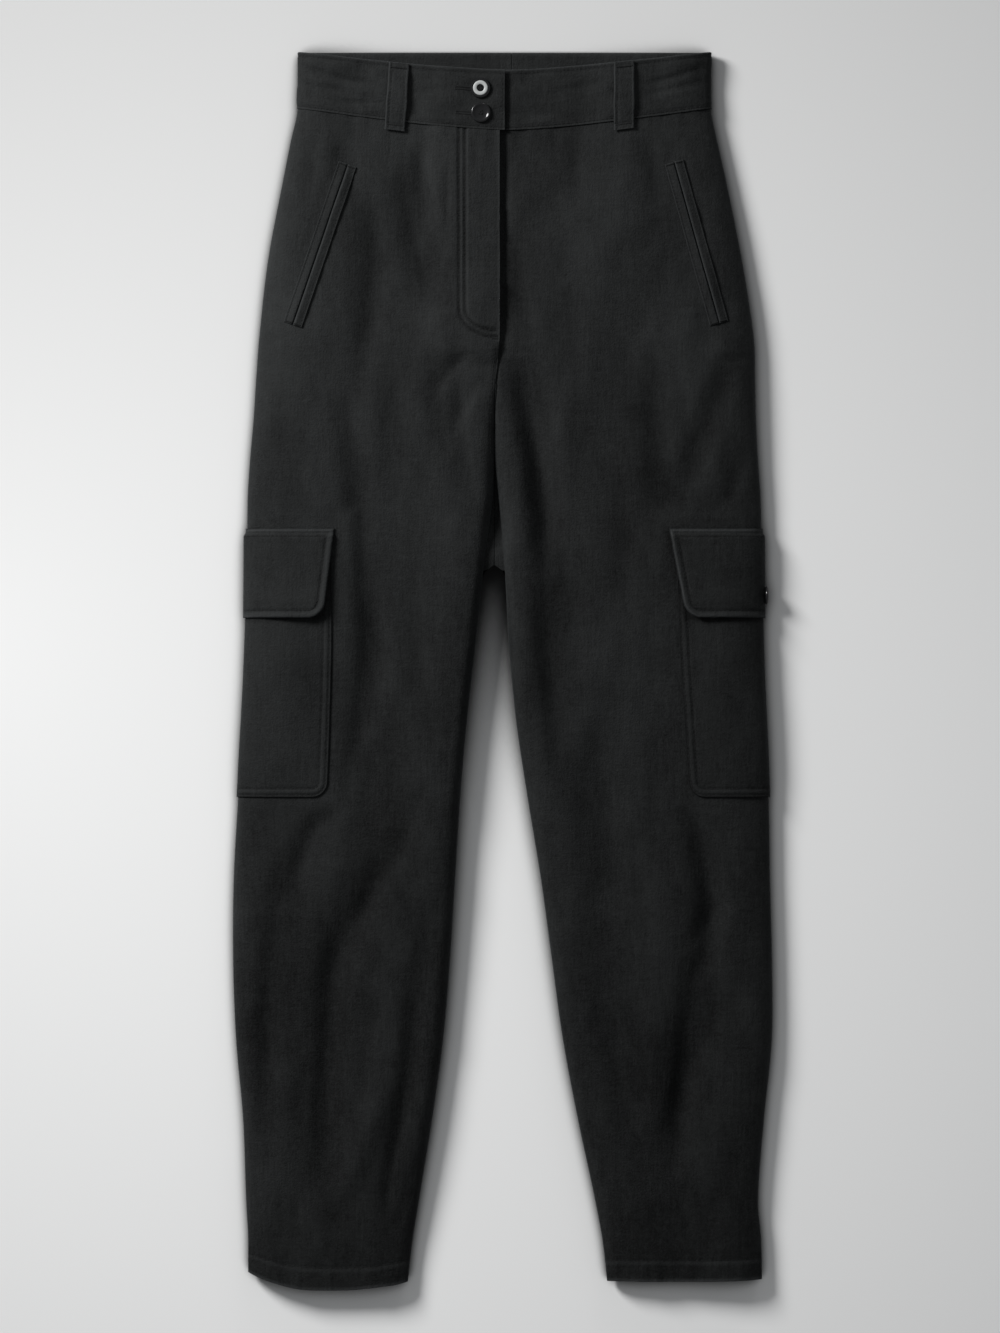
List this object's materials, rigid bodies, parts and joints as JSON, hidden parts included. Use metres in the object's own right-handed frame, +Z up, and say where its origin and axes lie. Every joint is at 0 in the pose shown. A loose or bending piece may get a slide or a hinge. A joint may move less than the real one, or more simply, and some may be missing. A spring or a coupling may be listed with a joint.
{
  "type": "cargo trousers",
  "caption": "Straight-leg cargo trousers laid flat, with slanted welt pockets, flapped pockets on the thighs, belt loops, a fly and a buttoned waistband.",
  "frame": {"origin": "middle of the bounding box's bottom face, on the surface the garment lies on", "axes": "+X towards the wearer's left leg, +Y from the hems to the waist, +Z up from the surface, out of the front of the garment"},
  "size_m": [0.4538, 1.0412, 0.0264],
  "materials": {
    "twill": "matte black cotton twill",
    "button_rimmed": "pearly grey rim round a dark dish",
    "button_black": "polished black",
    "zip_tape": "black woven tape"
  },
  "bodies": {
    "root": {"front_right": "twill", "front_left": "twill", "back_right": "twill", "back_left": "twill", "waistband_right": "twill", "waistband_left": "twill", "loop_front_right": "twill", "loop_front_left": "twill", "loop_back_right": "twill", "loop_back_centre": "twill", "loop_back_left": "twill", "welt_right_front": "twill", "welt_right_side": "twill", "welt_left_front": "twill", "welt_left_side": "twill", "cargo_bag_right": "twill", "cargo_bag_left": "twill", "cargo_flap_right": "twill", "cargo_flap_left": "twill", "button_waist_upper": "button_rimmed", "button_waist_lower": "button_black", "button_cargo_right": "button_black", "button_cargo_left": "button_black", "fly_zip": "zip_tape"}
  },
  "joints": []
}
